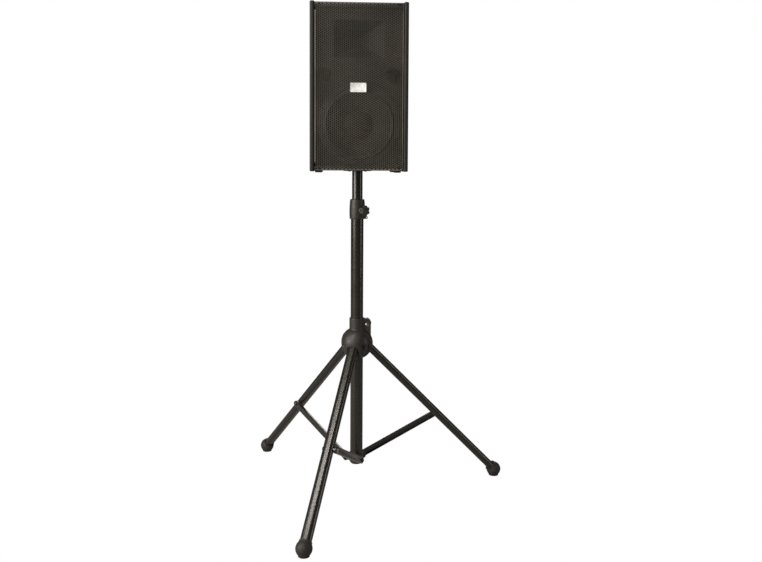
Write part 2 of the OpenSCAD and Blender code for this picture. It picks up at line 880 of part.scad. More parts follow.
mast_outer_tube();
mast_collar();
collar_bush();
collar_clamp_knob();
pole_guide_bush();
pole_tube();
pole_top_cap();
leg_hub();
leg_pivot_pins();
hub_clamp_bolt();
hub_clamp_knob();
leg_tube(FRONT);  // leg_tube_front
leg_tube(RIGHT);  // leg_tube_right
leg_tube(LEFT);  // leg_tube_left
leg_foot(FRONT);  // leg_foot_front
leg_foot(RIGHT);  // leg_foot_right
leg_foot(LEFT);  // leg_foot_left
brace(FRONT);  // brace_front
brace(RIGHT);  // brace_right
brace(LEFT);  // brace_left
brace_rivet(FRONT);  // brace_rivet_front
brace_rivet(RIGHT);  // brace_rivet_right
brace_rivet(LEFT);  // brace_rivet_left
lower_bracket();
bracket_bolts();
mast_end_cap();
side_panel(-1);  // side_panel_left
side_panel(1);  // side_panel_right
top_panel();
bottom_panel();
rear_panel();
front_baffle();
grille_panel();
grille_screws();
badge_plate();
cabinet_feet();
pole_socket();
pole_socket_screws();
woofer_basket();
woofer_surround();
woofer_cone();
woofer_magnet();
woofer_screws();
horn_flare();
horn_screws();
compression_driver();
port_tubes();
crossover_board();
crossover_coils();
crossover_capacitors();
connector_plate();
speaker_sockets();
connector_screws();
carry_handle();
handle_screws();
damping_wadding();
internal_wires();
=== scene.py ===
"""The looks of a loudspeaker on a folding tripod stand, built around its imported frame.

Lengths are in metres in the shared frame: +Z up, the cabinet's front towards -Y.
"""

import json
import logging
import math
from collections.abc import Callable, Iterator
from contextlib import contextmanager
from dataclasses import dataclass
from enum import Enum

import bmesh
import bpy
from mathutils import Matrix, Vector

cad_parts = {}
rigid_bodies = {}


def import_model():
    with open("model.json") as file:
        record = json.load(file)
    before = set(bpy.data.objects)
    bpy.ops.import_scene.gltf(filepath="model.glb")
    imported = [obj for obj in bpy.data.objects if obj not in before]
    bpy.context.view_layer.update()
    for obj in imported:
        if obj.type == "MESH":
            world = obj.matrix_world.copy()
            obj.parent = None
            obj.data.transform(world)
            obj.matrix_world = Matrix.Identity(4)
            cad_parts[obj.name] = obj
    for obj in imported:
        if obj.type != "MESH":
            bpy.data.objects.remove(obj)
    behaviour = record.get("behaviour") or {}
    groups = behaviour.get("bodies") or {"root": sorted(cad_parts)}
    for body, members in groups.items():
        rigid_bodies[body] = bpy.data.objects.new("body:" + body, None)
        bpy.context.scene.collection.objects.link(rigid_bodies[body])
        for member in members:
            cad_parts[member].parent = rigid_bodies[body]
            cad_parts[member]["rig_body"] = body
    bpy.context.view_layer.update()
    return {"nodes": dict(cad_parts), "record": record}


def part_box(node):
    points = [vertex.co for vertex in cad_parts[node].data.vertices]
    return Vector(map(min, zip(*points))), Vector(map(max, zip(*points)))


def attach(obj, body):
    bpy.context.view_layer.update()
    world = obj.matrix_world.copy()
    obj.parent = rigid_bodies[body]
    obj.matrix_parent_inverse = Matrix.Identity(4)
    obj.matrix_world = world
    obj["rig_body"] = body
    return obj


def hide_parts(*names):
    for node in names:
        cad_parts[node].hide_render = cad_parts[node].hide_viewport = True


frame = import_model()

LOG = logging.getLogger("speaker_stand")
MM = 0.001
MERGE = 0.00002
NEAR = 0.0001
LEGS = ("front", "right", "left")
Point = tuple[float, float, float]
Colour = tuple[float, float, float]


class Facing(Enum):
    """The way a screw's head faces: its turn about X and about Y."""

    FRONT = (math.pi / 2, 0.0)
    REAR = (-math.pi / 2, 0.0)
    UP = (0.0, 0.0)
    DOWN = (math.pi, 0.0)


# ---------- edit-mode helpers ----------


def leave_edit_mode() -> None:
    """Goes back to object mode, if another mode is open."""
    if bpy.context.object is not None and bpy.context.object.mode != "OBJECT":
        bpy.ops.object.mode_set(mode="OBJECT")


def only(obj: bpy.types.Object) -> None:
    """Selects one object alone and makes it active, in object mode."""
    leave_edit_mode()
    for other in bpy.context.selected_objects:
        other.select_set(False)
    obj.select_set(True)
    bpy.context.view_layer.objects.active = obj


def none_selected() -> None:
    """Deselects every object, so that an operator acts on the new one only."""
    leave_edit_mode()
    bpy.ops.object.select_all(action="DESELECT")


@contextmanager
def editing(obj: bpy.types.Object, mode: str = "VERT") -> Iterator[None]:
    """Opens edit mode on one object with nothing selected, and closes it after.

    Args:
        obj: The mesh object to edit.
        mode: What is selected inside, "VERT", "EDGE" or "FACE".
    """
    only(obj)
    bpy.ops.object.mode_set(mode="EDIT")
    bpy.ops.mesh.select_mode(type=mode)
    bpy.ops.mesh.select_all(action="DESELECT")
    yield
    bpy.ops.object.mode_set(mode="OBJECT")


def pick_faces(obj: bpy.types.Object, wanted: Callable[[bmesh.types.BMFace], bool]) -> None:
    """Selects, in edit mode, just the faces that pass a test."""
    mesh = bmesh.from_edit_mesh(obj.data)
    for face in mesh.faces:
        face.select_set(False)
    found = [face for face in mesh.faces if wanted(face)]
    for face in found:
        face.select_set(True)
    bmesh.update_edit_mesh(obj.data)


def pick_edges(obj: bpy.types.Object, wanted: Callable[[bmesh.types.BMEdge], bool]) -> None:
    """Selects, in edit mode, just the edges that pass a test."""
    mesh = bmesh.from_edit_mesh(obj.data)
    for face in mesh.faces:
        face.select_set(False)
    for edge in mesh.edges:
        edge.select_set(False)
    found = [edge for edge in mesh.edges if wanted(edge)]
    for edge in found:
        edge.select_set(True)
    bmesh.update_edit_mesh(obj.data)


def pick_verts(obj: bpy.types.Object, wanted: Callable[[bmesh.types.BMVert], bool]) -> None:
    """Selects, in edit mode, just the vertices that pass a test."""
    mesh = bmesh.from_edit_mesh(obj.data)
    for vert in mesh.verts:
        vert.select_set(wanted(vert))
    mesh.select_flush_mode()
    bmesh.update_edit_mesh(obj.data)


def applied(obj: bpy.types.Object, kind: str, **settings: object) -> None:
    """Adds one modifier with these settings and applies it."""
    only(obj)
    modifier = obj.modifiers.new(kind.lower(), kind)
    for name, value in settings.items():
        setattr(modifier, name, value)
    bpy.ops.object.modifier_apply(modifier=modifier.name)


def settled(obj: bpy.types.Object) -> None:
    """Puts an object's place, turn and scale into its mesh."""
    only(obj)
    bpy.ops.object.transform_apply(location=True, rotation=True, scale=True)


def cleaned(obj: bpy.types.Object, outward: bool = True) -> None:
    """Merges doubles and turns the faces outwards."""
    with editing(obj):
        bpy.ops.mesh.select_all(action="SELECT")
        bpy.ops.mesh.remove_doubles(threshold=MERGE)
        if outward:
            bpy.ops.mesh.normals_make_consistent(inside=False)


def smooth(obj: bpy.types.Object, degrees: float) -> None:
    """Shades an object smooth except across edges sharper than an angle."""
    only(obj)
    bpy.ops.object.shade_smooth_by_angle(angle=math.radians(degrees))


def named(obj: bpy.types.Object, name: str) -> bpy.types.Object:
    """Gives an object and its mesh one name."""
    obj.name = name
    obj.data.name = name
    return obj


def joined(objs: list[bpy.types.Object], name: str) -> bpy.types.Object:
    """Joins objects into the first one under a name."""
    none_selected()
    for obj in objs:
        obj.select_set(True)
    bpy.context.view_layer.objects.active = objs[0]
    if len(objs) > 1:
        bpy.ops.object.join()
    return named(objs[0], name)


def node_copy(node: str, name: str) -> bpy.types.Object:
    """A merged copy of a frame node's mesh, as a new object.

    Args:
        node: The frame node that is copied.
        name: The new object's name.

    Returns:
        The copy, at the origin.
    """
    none_selected()
    copy = bpy.data.objects.new(name, frame["nodes"][node].data.copy())
    bpy.context.scene.collection.objects.link(copy)
    named(copy, name)
    copy.data.materials.clear()
    only(copy)
    if copy.data.has_custom_normals:
        bpy.ops.mesh.customdata_custom_splitnormals_clear()
    cleaned(copy, outward=False)
    return copy


def turned(name: str, profile: list[tuple[float, float]], steps: int) -> bpy.types.Object:
    """A piece turned on a lathe about Z.

    Args:
        name: The piece's name.
        profile: (radius, height) points of its outline, from the axis round to the axis.
        steps: How many facets go round it.

    Returns:
        The turned piece at the origin.
    """
    none_selected()
    bpy.ops.mesh.primitive_plane_add(size=MM)
    obj = named(bpy.context.object, name)
    with editing(obj):
        bpy.ops.mesh.select_all(action="SELECT")
        bpy.ops.mesh.merge(type="CENTER")
        last = profile[0]
        bpy.ops.transform.translate(value=(last[0], 0, last[1]))
        for radius, height in profile[1:]:
            bpy.ops.mesh.extrude_region_move(
                TRANSFORM_OT_translate={"value": (radius - last[0], 0, height - last[1])})
            last = (radius, height)
        bpy.ops.mesh.select_all(action="SELECT")
        bpy.ops.mesh.spin(steps=steps, angle=math.tau, center=(0, 0, 0), axis=(0, 0, 1))
    cleaned(obj)
    return obj


def islands(node: str) -> list[tuple[Vector, Vector]]:
    """The boxes of a node's separate solids, lowest and highest corner of each."""
    mesh = bmesh.new()
    mesh.from_mesh(frame["nodes"][node].data)
    bmesh.ops.remove_doubles(mesh, verts=mesh.verts, dist=MERGE)
    seen: set[int] = set()
    boxes = []
    for start in mesh.verts:
        if start.index in seen:
            continue
        seen.add(start.index)
        stack, points = [start], []
        while stack:
            vert = stack.pop()
            points.append(vert.co.copy())
            for edge in vert.link_edges:
                other = edge.other_vert(vert)
                if other.index not in seen:
                    seen.add(other.index)
                    stack.append(other)
        low = Vector(tuple(min(p[i] for p in points) for i in range(3)))
        high = Vector(tuple(max(p[i] for p in points) for i in range(3)))
        boxes.append((low, high))
    mesh.free()
    return boxes


# ---------- finishes ----------


class Sketch:
    """One material's node tree, with the few nodes that every finish is made of."""

    def __init__(self, name: str) -> None:
        """Starts a material that holds only a Principled shader and its output."""
        self.material = bpy.data.materials.new(name)
        self.material.use_nodes = True
        self.tree = self.material.node_tree
        self.tree.nodes.clear()
        self.shader = self.tree.nodes.new("ShaderNodeBsdfPrincipled")
        output = self.tree.nodes.new("ShaderNodeOutputMaterial")
        self.tree.links.new(self.shader.outputs[0], output.inputs[0])
        self.place = self.tree.nodes.new("ShaderNodeTexCoord").outputs["Object"]

    def join(self, source: object, target: object) -> None:
        """Links one socket to another."""
        self.tree.links.new(source, target)

    def steady(self, **values: object) -> None:
        """Sets constant values straight on the shader's sockets."""
        for name, value in values.items():
            self.shader.inputs[name.replace("_", " ")].default_value = value

    def grain(self, size: float, detail: float, stretch: Point = (1, 1, 1),
              rough: float = 0.5) -> object:
        """A noise pattern.

        Args:
            size: The width of its blotches in metres.
            detail: How many finer layers it has.
            stretch: How its scale differs along X, Y and Z.
            rough: How strong the finer layers are.

        Returns:
            Its value socket, from 0 to 1.
        """
        mapping = self.tree.nodes.new("ShaderNodeMapping")
        mapping.inputs["Scale"].default_value = stretch
        self.join(self.place, mapping.inputs["Vector"])
        noise = self.tree.nodes.new("ShaderNodeTexNoise")
        noise.inputs["Scale"].default_value = 1 / size
        noise.inputs["Detail"].default_value = detail
        noise.inputs["Roughness"].default_value = rough
        self.join(mapping.outputs[0], noise.inputs["Vector"])
        return noise.outputs[0]

    def cells(self, size: float, smoothness: float) -> object:
        """A pattern of rounded droplets of a size in metres."""
        cell = self.tree.nodes.new("ShaderNodeTexVoronoi")
        cell.feature = "SMOOTH_F1"
        cell.inputs["Scale"].default_value = 1 / size
        cell.inputs["Smoothness"].default_value = smoothness
        self.join(self.place, cell.inputs["Vector"])
        return cell.outputs["Distance"]

    def ripple(self, pitch: float, axis: str, distortion: float) -> object:
        """Parallel bands of a pitch in metres along an axis."""
        wave = self.tree.nodes.new("ShaderNodeTexWave")
        wave.bands_direction = axis
        wave.inputs["Scale"].default_value = math.tau / 20 / pitch
        wave.inputs["Distortion"].default_value = distortion
        self.join(self.place, wave.inputs["Vector"])
        return wave.outputs["Fac"]

    def span(self, value: object, low: float, high: float, start: float = 0.0,
             end: float = 1.0) -> object:
        """Maps a value from low..high to start..end, clamped."""
        node = self.tree.nodes.new("ShaderNodeMapRange")
        node.inputs["From Min"].default_value = low
        node.inputs["From Max"].default_value = high
        node.inputs["To Min"].default_value = start
        node.inputs["To Max"].default_value = end
        self.join(value, node.inputs["Value"])
        return node.outputs[0]

    def blend(self, factor: object, first: object, second: object) -> object:
        """Mixes two colours, each a socket or a plain colour."""
        node = self.tree.nodes.new("ShaderNodeMix")
        node.data_type = "RGBA"
        self.join(factor, node.inputs["Factor"])
        for socket, colour in zip((node.inputs[6], node.inputs[7]), (first, second)):
            if isinstance(colour, tuple):
                socket.default_value = (*colour, 1)
            else:
                self.join(colour, socket)
        return node.outputs[2]

    def relief(self, height: object, depth: float, strength: float,
               under: object | None = None) -> object:
        """Turns a height pattern into a bumped normal.

        Args:
            height: The pattern's value socket.
            depth: Its depth in metres.
            strength: How much of it shows.
            under: A coarser bumped normal that it lies on.

        Returns:
            The normal socket.
        """
        bump = self.tree.nodes.new("ShaderNodeBump")
        bump.inputs["Distance"].default_value = depth
        bump.inputs["Strength"].default_value = strength
        self.join(height, bump.inputs["Height"])
        if under is not None:
            self.join(under, bump.inputs["Normal"])
        return bump.outputs[0]

    def surface(self, colour: object = None, roughness: object = None,
                normal: object = None) -> bpy.types.Material:
        """Links the patterned sockets to the shader and returns the material."""
        if colour is not None:
            self.join(colour, self.shader.inputs["Base Color"])
        if roughness is not None:
            self.join(roughness, self.shader.inputs["Roughness"])
        if normal is not None:
            self.join(normal, self.shader.inputs["Normal"])
        return self.material


@dataclass(frozen=True)
class Finish:
    """What every finish has: its name, its colour and how dull it is."""

    name: str
    colour: Colour
    roughness: float

    def shade(self, factor: float) -> Colour:
        """The finish's colour made darker or lighter by a factor."""
        return tuple(min(1.0, c * factor) for c in self.colour)

    def material(self) -> bpy.types.Material:
        """Builds the material."""
        raise NotImplementedError


@dataclass(frozen=True)
class PowderCoat(Finish):
    """Baked powder paint on metal: orange peel, faint dust and rubbed places."""

    peel: float = 1.6 * MM
    peel_depth: float = 0.01 * MM
    coat: float = 0.3
    worn: Colour = (0.11, 0.10, 0.09)

    def material(self) -> bpy.types.Material:
        """Builds the material."""
        s = Sketch(self.name)
        s.steady(Specular_IOR_Level=0.5, Coat_Weight=self.coat, Coat_Roughness=0.2)
        cloud = s.grain(90 * MM, 3)
        colour = s.blend(s.span(cloud, 0.35, 0.7), self.shade(0.85), self.shade(1.2))
        rub = s.span(s.grain(7 * MM, 4, (1, 1, 0.35), 0.6), 0.70, 0.80, 0.0, 0.2)
        colour = s.blend(rub, colour, self.worn)
        rough = s.span(s.grain(40 * MM, 1), 0.3, 0.75,
                       self.roughness - 0.02, self.roughness + 0.03)
        peel = s.relief(s.grain(self.peel, 1), self.peel_depth, 0.12)
        fine = s.relief(s.grain(0.35 * MM, 0), 0.004 * MM, 0.08, peel)
        return s.surface(colour, rough, fine)


@dataclass(frozen=True)
class MouldedPlastic(Finish):
    """Glass-filled nylon from an etched mould: fine grain, soft sheen, handling marks."""

    grain_size: float = 0.5 * MM
    grain_depth: float = 0.035 * MM
    flow: float = 30 * MM

    def material(self) -> bpy.types.Material:
        """Builds the material."""
        s = Sketch(self.name)
        s.steady(Specular_IOR_Level=0.5)
        cloud = s.span(s.grain(self.flow, 4, rough=0.6), 0.3, 0.72)
        colour = s.blend(cloud, self.shade(0.8), self.shade(1.25))
        scuff = s.span(s.grain(3 * MM, 5, (1, 0.3, 1), 0.7), 0.68, 0.82, 0.0, 0.4)
        colour = s.blend(scuff, colour, self.shade(2.6))
        rough = s.span(s.grain(9 * MM, 3), 0.3, 0.7, self.roughness - 0.06, self.roughness + 0.08)
        etched = s.relief(s.cells(self.grain_size, 0.8), self.grain_depth, 0.55)
        worked = s.relief(s.grain(6 * MM, 2), 0.08 * MM, 0.35, etched)
        return s.surface(colour, rough, worked)


@dataclass(frozen=True)
class SpatterPaint(Finish):
    """Two-coat textured cabinet paint: small rounded droplets over a rolled ground."""

    droplet: float = 1.9 * MM
    depth: float = 0.22 * MM

    def material(self) -> bpy.types.Material:
        """Builds the material."""
        s = Sketch(self.name)
        s.steady(Specular_IOR_Level=0.5)
        drops = s.cells(self.droplet, 0.5)
        cloud = s.span(s.grain(60 * MM, 3), 0.3, 0.7)
        colour = s.blend(cloud, self.shade(0.85), self.shade(1.15))
        colour = s.blend(s.span(drops, 0.1, 0.5, 0.45, 0.0), colour, self.shade(1.7))
        rub = s.span(s.grain(5 * MM, 6, rough=0.7), 0.70, 0.80, 0.0, 0.3)
        colour = s.blend(rub, colour, self.shade(3.0))
        rough = s.span(drops, 0.05, 0.6, self.roughness - 0.08, self.roughness + 0.1)
        ground = s.relief(s.grain(3.5 * MM, 2), self.depth, 0.35)
        normal = s.relief(s.span(drops, 0.0, 0.75, 1.0, 0.0), self.depth, 0.75, ground)
        return s.surface(colour, rough, normal)


@dataclass(frozen=True)
class PlatedMetal(Finish):
    """Plated, blackened or anodised metal with fine drawn lines and faint clouding."""

    line: float = 0.3 * MM
    stretch: Point = (1.0, 0.08, 1.0)
    lacquer: float = 0.0
    metal: float = 1.0

    def material(self) -> bpy.types.Material:
        """Builds the material."""
        s = Sketch(self.name)
        s.steady(Metallic=self.metal, Coat_Weight=self.lacquer, Coat_Roughness=0.2)
        cloud = s.span(s.grain(8 * MM, 4), 0.3, 0.7)
        colour = s.blend(cloud, self.shade(0.75), self.shade(1.1))
        drawn = s.grain(self.line, 3, self.stretch)
        rough = s.span(drawn, 0.2, 0.8, self.roughness - 0.08, self.roughness + 0.12)
        return s.surface(colour, rough, s.relief(drawn, 0.02 * MM, 0.5))


@dataclass(frozen=True)
class Rubber(Finish):
    """Dull black rubber with dust in its pores."""

    dust: Colour = (0.10, 0.095, 0.085)

    def material(self) -> bpy.types.Material:
        """Builds the material."""
        s = Sketch(self.name)
        s.steady(Specular_IOR_Level=0.45)
        dusty = s.span(s.grain(10 * MM, 6, rough=0.7), 0.5, 0.8, 0.0, 0.45)
        colour = s.blend(dusty, self.colour, self.dust)
        rough = s.span(s.grain(5 * MM, 3), 0.3, 0.7, self.roughness - 0.07, self.roughness + 0.07)
        pores = s.relief(s.grain(0.7 * MM, 3), 0.05 * MM, 0.6)
        return s.surface(colour, rough, pores)


@dataclass(frozen=True)
class Fibre(Finish):
    """Pressed paper, wadding or a bare board: matted fibres of two tones."""

    fibre: float = 1.2 * MM
    depth: float = 0.1 * MM
    contrast: float = 0.25

    def material(self) -> bpy.types.Material:
        """Builds the material."""
        s = Sketch(self.name)
        s.steady(Specular_IOR_Level=0.3)
        mat = s.grain(self.fibre, 5, (1, 1, 0.4), 0.7)
        colour = s.blend(s.span(mat, 0.3, 0.7), self.shade(1 - self.contrast),
                         self.shade(1 + self.contrast))
        rough = s.span(mat, 0.2, 0.8, self.roughness - 0.1, min(1.0, self.roughness + 0.1))
        return s.surface(colour, rough, s.relief(mat, self.depth, 0.8))


@dataclass(frozen=True)
class Wound(Finish):
    """Enamelled copper wire wound in close turns, with painted shade darkening the grooves
    between them.
    """

    pitch: float = 1.1 * MM

    def material(self) -> bpy.types.Material:
        """Builds the material."""
        s = Sketch(self.name)
        s.steady(Metallic=0.85, Coat_Weight=0.5, Coat_Roughness=0.15)
        turns = s.ripple(self.pitch, "Z", 0.4)
        # Painted shade: the copper darkens to 0.45 of its colour in the grooves between turns and
        # lightens a little on their crests.
        colour = s.blend(turns, self.shade(0.45), self.shade(1.1))
        rough = s.span(s.grain(4 * MM, 2), 0.3, 0.7, self.roughness - 0.05, self.roughness + 0.1)
        return s.surface(colour, rough, s.relief(turns, 0.4 * MM, 0.8))


FINISHES: dict[str, Finish] = {
    "stand_paint": PowderCoat("satin_black_powder_coat", (0.0130, 0.0112, 0.0088), 0.27),
    "stand_plastic": MouldedPlastic("black_moulded_nylon", (0.024, 0.021, 0.0175), 0.46),
    "nylon": MouldedPlastic("natural_nylon", (0.62, 0.58, 0.48), 0.42),
    "zinc_steel": PlatedMetal("zinc_plated_steel", (0.40, 0.39, 0.37), 0.34),
    "foot_rubber": Rubber("foot_rubber", (0.022, 0.020, 0.018), 0.62),
    "cabinet_paint": SpatterPaint("black_spatter_paint", (0.0085, 0.0078, 0.0065), 0.55),
    "grille_paint": PowderCoat("grille_powder_coat", (0.125, 0.115, 0.096), 0.40,
                               peel=0.9 * MM, peel_depth=0.03 * MM, coat=0.15),
    "black_screws": PlatedMetal("black_oxide_screws", (0.055, 0.052, 0.048), 0.38,
                                lacquer=0.3),
    "badge_metal": PlatedMetal("pale_anodised_plate", (0.90, 0.92, 0.94), 0.34,
                               line=0.25 * MM, stretch=(0.06, 1.0, 1.0), metal=0.15),
    "socket_plastic": MouldedPlastic("socket_thermoplastic", (0.009, 0.0088, 0.0085), 0.58),
    "basket_steel": PowderCoat("basket_powder_coat", (0.020, 0.020, 0.020), 0.45),
    "surround_rubber": Rubber("surround_rubber", (0.018, 0.018, 0.018), 0.50),
    "cone_paper": Fibre("pressed_cone_paper", (0.022, 0.021, 0.019), 0.75),
    "magnet_ferrite": Fibre("sintered_ferrite", (0.035, 0.034, 0.034), 0.58,
                            fibre=0.8 * MM, depth=0.03 * MM),
    "circuit_board": Fibre("glass_epoxy_board", (0.035, 0.13, 0.05), 0.42,
                           fibre=0.7 * MM, depth=0.02 * MM),
    "copper_coils": Wound("enamelled_copper", (0.72, 0.30, 0.14), 0.28),
    "capacitor_sleeve": MouldedPlastic("capacitor_sleeve", (0.75, 0.62, 0.10), 0.35),
    "wadding_fibre": Fibre("polyester_wadding", (0.66, 0.66, 0.64), 0.92,
                           fibre=5 * MM, depth=3 * MM, contrast=0.15),
    "wire_insulation": MouldedPlastic("wire_insulation", (0.35, 0.05, 0.04), 0.40),
}


class Paintshop:
    """Makes each finish once and puts it on nodes and pieces."""

    def __init__(self) -> None:
        """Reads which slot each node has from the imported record."""
        self.made: dict[str, bpy.types.Material] = {}
        self.slots = {p["node"]: p["material_slot"] for p in frame["record"]["subparts"]}

    def material(self, slot: str) -> bpy.types.Material:
        """The material of a slot, made the first time it is asked for."""
        if slot not in self.made:
            self.made[slot] = FINISHES[slot].material()
        return self.made[slot]

    def dress(self, obj: bpy.types.Object, slot: str) -> None:
        """Gives an object one slot's finish alone."""
        obj.data.materials.clear()
        obj.data.materials.append(self.material(slot))

    def dress_nodes(self) -> int:
        """Gives every frame node the finish of its own slot.

        Returns:
            How many nodes were dressed.
        """
        for node, obj in frame["nodes"].items():
            self.dress(obj, self.slots[node])
        return len(frame["nodes"])

    def fit(self, obj: bpy.types.Object, node: str) -> bpy.types.Object:
        """Dresses a new piece and lets it ride on a node's body in the node's place.

        Args:
            obj: The piece, its place in its mesh.
            node: The frame node that it stands for.

        Returns:
            The piece.
        """
        body = frame["nodes"][node]["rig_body"]
        chosen = self.slots[node]
        self.dress(obj, chosen)
        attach(obj, body)
        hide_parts(node)
        LOG.info("%s: %d faces", obj.name, len(obj.data.polygons))
        return obj


SHOP = Paintshop()


# ---------- sub-assemblies ----------


@dataclass
class SoftMoulding:
    """A moulded part whose corners and meeting faces have the radii of a real tool."""

    node: str
    name: str
    voxel: float
    rounds: int

    def build(self) -> bpy.types.Object:
        """Skins the node's own shape evenly, eases its corners and fits it."""
        obj = node_copy(self.node, self.name)
        applied(obj, "REMESH", mode="VOXEL", voxel_size=self.voxel, use_smooth_shade=True)
        applied(obj, "SMOOTH", factor=0.5, iterations=self.rounds)
        only(obj)
        bpy.ops.object.shade_smooth()
        return SHOP.fit(obj, self.node)


@dataclass
class EasedPart:
    """A cut, folded or turned part whose sharp edges are broken with a small round."""

    node: str
    name: str
    ease: float
    segments: int

    def build(self) -> bpy.types.Object:
        """Bevels the node's own sharp edges and fits it."""
        obj = node_copy(self.node, self.name)
        with editing(obj):
            bpy.ops.mesh.select_all(action="SELECT")
            bpy.ops.mesh.dissolve_limited(angle_limit=math.radians(1.0))
        applied(obj, "BEVEL", width=self.ease, segments=self.segments, limit_method="ANGLE",
                angle_limit=math.radians(40), use_clamp_overlap=True, harden_normals=False)
        smooth(obj, 32)
        return SHOP.fit(obj, self.node)


@dataclass
class PerforatedGrille:
    """The steel front grille: a close-packed field of round holes with bent sides."""

    node: str = "grille_panel"
    pitch: float = 7.1 * MM
    hole: float = 3.3 * MM
    columns: int = 44
    rows: int = 72
    bend: float = 2.2 * MM
    bend_steps: int = 5
    notch: float = 25 * MM
    sheet: float = 1.5 * MM
    sides: int = 12
    plain_area: float = 0.01
    rim_slack: float = 0.0005
    side_slack: float = 0.0002

    def build(self) -> bpy.types.Object:
        """Punches the field, frames it, bends its sides and fits it."""
        low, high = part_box(self.node)
        half_x = high.x - self.bend
        half_y = (high.z - low.z) / 2
        depth = high.y - low.y
        obj = self.cell()
        self.punched_field(obj)
        self.frame_round(obj, half_x, half_y)
        for side in (-1, 1):
            self.side_return(obj, side * half_x, half_y - self.notch, depth)
        with editing(obj):
            bpy.ops.mesh.select_all(action="SELECT")
            bpy.ops.mesh.normals_make_consistent(inside=False)
            mesh = bmesh.from_edit_mesh(obj.data)
            if sum(f.normal.z for f in mesh.faces) < 0:
                bpy.ops.mesh.flip_normals()
        applied(obj, "SOLIDIFY", thickness=self.sheet, offset=-1.0, use_even_offset=True)
        obj.rotation_euler = (math.pi / 2, 0, 0)
        obj.location = (0, low.y, (low.z + high.z) / 2)
        settled(obj)
        smooth(obj, 25)
        return SHOP.fit(obj, self.node)

    def cell(self) -> bpy.types.Object:
        """One six-sided cell of sheet round one hole, at the field's lower left."""
        none_selected()
        bpy.ops.mesh.primitive_circle_add(vertices=self.sides, radius=self.hole,
                                          fill_type="NOTHING")
        obj = named(bpy.context.object, "perforated_grille")
        corner = self.pitch / math.sqrt(3)
        grow = corner / self.hole
        with editing(obj):
            bpy.ops.mesh.select_all(action="SELECT")
            bpy.ops.mesh.extrude_edges_move()
            bpy.ops.transform.resize(value=(grow, grow, 1))

            def between_corners(vert: bmesh.types.BMVert) -> bool:
                """True on the outer ring, half-way between two corners."""
                turn = math.degrees(math.atan2(vert.co.y, vert.co.x)) % 60
                return vert.co.length > self.hole * 1.2 and 15 < turn < 45

            pick_verts(obj, between_corners)
            bpy.ops.mesh.dissolve_verts()
        return obj

    def punched_field(self, obj: bpy.types.Object) -> None:
        """Repeats the cell into the whole field, centred on the origin."""
        step = self.pitch * math.sqrt(3) / 2
        applied(obj, "ARRAY", count=self.rows, use_relative_offset=False,
                use_constant_offset=True, constant_offset_displace=(0, self.pitch, 0))
        with editing(obj):
            bpy.ops.mesh.select_all(action="SELECT")
            bpy.ops.mesh.duplicate_move(
                TRANSFORM_OT_translate={"value": (step, self.pitch / 2, 0)})
        applied(obj, "ARRAY", count=self.columns // 2, use_relative_offset=False,
                use_constant_offset=True, constant_offset_displace=(2 * step, 0, 0))
        obj.location = (-(self.columns - 1) * step / 2, -(self.rows - 0.5) * self.pitch / 2, 0)
        settled(obj)
        cleaned(obj, outward=False)

    def frame_round(self, obj: bpy.types.Object, half_x: float, half_y: float) -> None:
        """Fills plain sheet between the field's stepped edge and the plate's outline."""
        side = self.pitch / math.sqrt(3)
        rim = half_y - self.notch
        with editing(obj, "EDGE"):
            bpy.ops.mesh.primitive_plane_add(size=1, location=(0, 0, 0))
            bpy.ops.transform.resize(value=(2 * half_x, 2 * half_y, 1))
            for height in (-rim, rim):
                pick_faces(obj, lambda f: f.calc_area() > self.plain_area)
                bpy.ops.mesh.bisect(plane_co=(0, height, 0), plane_no=(0, 1, 0))
            pick_edges(obj, lambda e: e.calc_length() > half_x
                       and all(abs(abs(v.co.y) - rim) < self.rim_slack for v in e.verts)
                       and e.is_manifold)
            bpy.ops.mesh.delete(type="EDGE")
            pick_edges(obj, lambda e: e.is_wire
                       or (e.is_boundary and abs(e.calc_length() - side) < self.side_slack))
            bpy.ops.mesh.fill(use_beauty=True)

    def side_return(self, obj: bpy.types.Object, edge_x: float, reach: float,
                    depth: float) -> None:
        """Bends one side of the sheet back round a small radius, between its notches."""
        way = math.copysign(1.0, edge_x)
        with editing(obj, "EDGE"):
            pick_edges(obj, lambda e: all(abs(v.co.x - edge_x) < NEAR
                                          and abs(v.co.y) < reach + NEAR for v in e.verts))
            for i in range(self.bend_steps):
                a, b = (k * math.pi / 2 / self.bend_steps for k in (i, i + 1))
                bpy.ops.mesh.extrude_edges_move(TRANSFORM_OT_translate={"value": (
                    way * self.bend * (math.sin(b) - math.sin(a)), 0,
                    self.bend * (math.cos(b) - math.cos(a)))})
            bpy.ops.mesh.extrude_edges_move(
                TRANSFORM_OT_translate={"value": (0, 0, -(depth - self.bend))})


@dataclass
class NameBadge:
    """The pale blank plate on the grille, with a rolled rim round a satin panel."""

    node: str = "badge_plate"
    rim: float = 1.3 * MM
    sunk: float = 0.5 * MM
    ease: float = 0.25 * MM
    corner: float = 2 * MM
    corner_steps: int = 5

    def build(self) -> bpy.types.Object:
        """Insets the panel, rounds the rim and fits the badge."""
        low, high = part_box(self.node)
        centre = (low + high) / 2
        none_selected()
        bpy.ops.mesh.primitive_cube_add(size=1, location=centre)
        obj = named(bpy.context.object, "blank_badge")
        obj.scale = high - low
        settled(obj)
        with editing(obj, "EDGE"):
            pick_edges(obj, lambda e: abs(e.verts[0].co.y - e.verts[1].co.y) > MM)
            bpy.ops.mesh.bevel(offset=self.corner, segments=self.corner_steps)
            bpy.ops.mesh.select_mode(type="FACE")
            pick_faces(obj, lambda f: f.normal.y < -0.9)
            bpy.ops.mesh.inset(thickness=self.rim)
            bpy.ops.mesh.extrude_region_move(TRANSFORM_OT_translate={"value": (0, self.sunk, 0)})
        cleaned(obj)
        applied(obj, "BEVEL", width=self.ease, segments=2, limit_method="ANGLE",
                angle_limit=math.radians(40))
        smooth(obj, 30)
        return SHOP.fit(obj, self.node)


